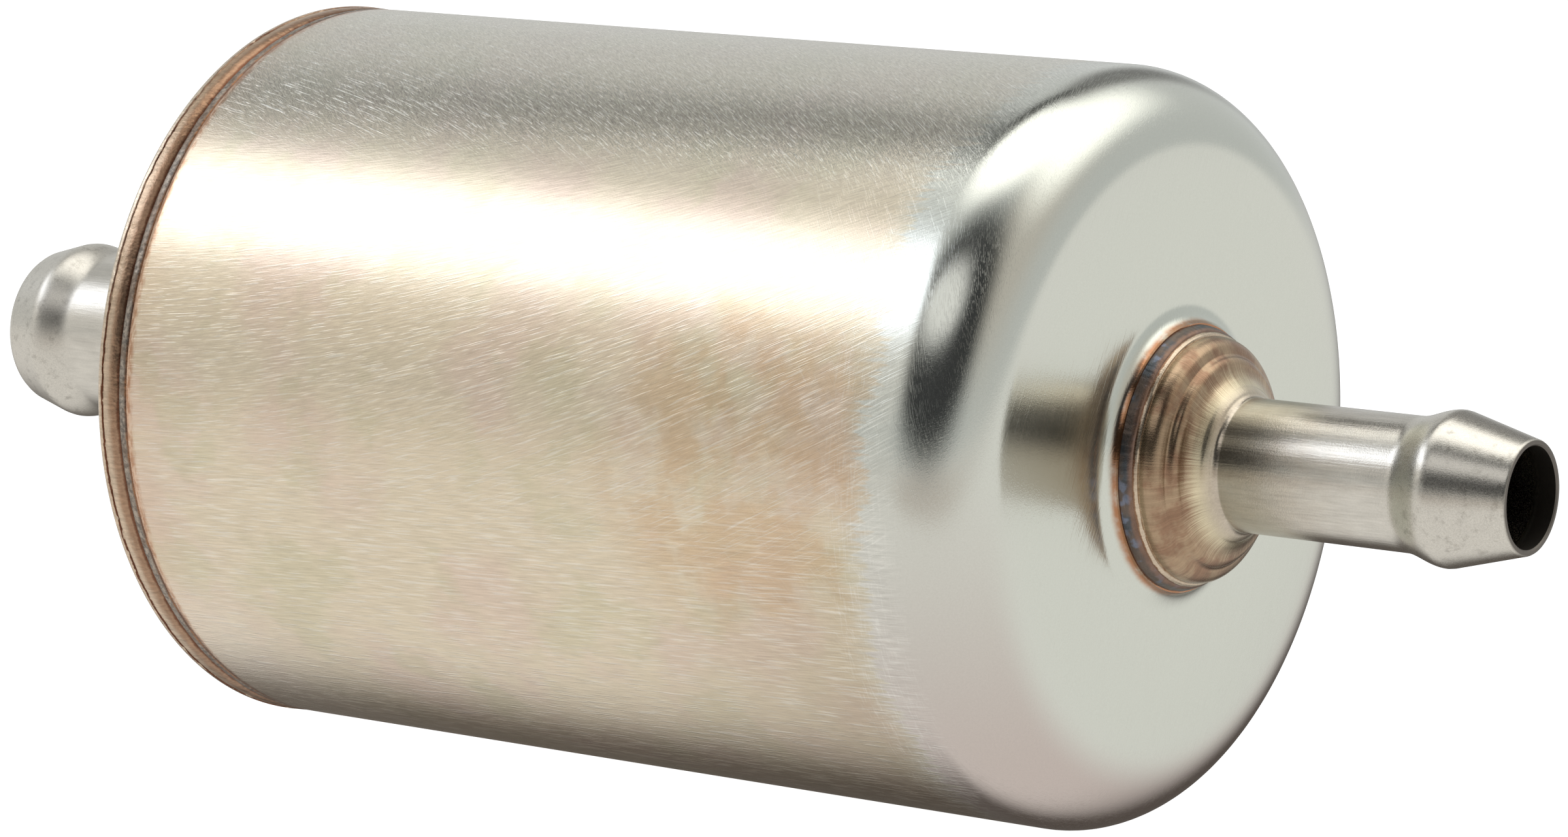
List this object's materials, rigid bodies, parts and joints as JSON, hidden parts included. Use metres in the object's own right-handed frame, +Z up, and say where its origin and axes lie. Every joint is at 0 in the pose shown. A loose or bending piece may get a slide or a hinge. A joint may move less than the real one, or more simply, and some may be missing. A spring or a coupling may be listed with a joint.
{
  "type": "fuel filter",
  "caption": "Sealed in-line fuel filter: round steel canister with a beaded hose nipple at each end and a spring-seated pleated paper element inside.",
  "frame": {"origin": "on the axis, at the middle of the overall length between the two nipple tips", "axes": "+X along the axis out of the outlet nipple, +Z up, +Y to complete the right hand"},
  "size_m": [0.1368, 0.056, 0.056],
  "materials": {
    "can_steel": "satin drawn steel with fine scratches and a faint warm tint",
    "cover_steel": "satin steel, heat-tinted tan at the rim",
    "weld_metal": "dark rippled weld bead",
    "nipple_steel": "satin nickel-grey steel, heat-tinted at the foot",
    "plated_steel": "thin plated sheet steel",
    "wire_cloth": "fine woven wire",
    "filter_paper": "resin-cured filter paper",
    "potting_compound": "cured sealing compound",
    "band_strip": "glued spacing band",
    "seal_rubber": "moulded nitrile rubber",
    "spring_steel": "bright spring wire"
  },
  "bodies": {
    "housing": {"can_body": "can_steel", "rear_cover": "cover_steel", "rear_seam_weld": "weld_metal", "outlet_nipple": "nipple_steel", "outlet_weld": "weld_metal", "inlet_nipple": "nipple_steel", "inlet_weld": "weld_metal", "element_spring": "spring_steel", "spring_seat": "plated_steel"},
    "element": {"pleated_media": "filter_paper", "media_seam_clip": "plated_steel", "center_tube": "plated_steel", "liner_screen": "wire_cloth", "outlet_end_cap": "plated_steel", "inlet_end_cap": "plated_steel", "outlet_potting": "potting_compound", "inlet_potting": "potting_compound", "pleat_band_front": "band_strip", "pleat_band_rear": "band_strip", "outlet_gasket": "seal_rubber"}
  },
  "joints": [
    {"name": "element_float", "type": "slide", "parent": "housing", "child": "element", "axis": [-1, 0, 0], "range_m": [0, 0.0015], "stiffness_N_per_m": 1300, "springref_m": -0.004, "deforming": ["element_spring"]}
  ]
}
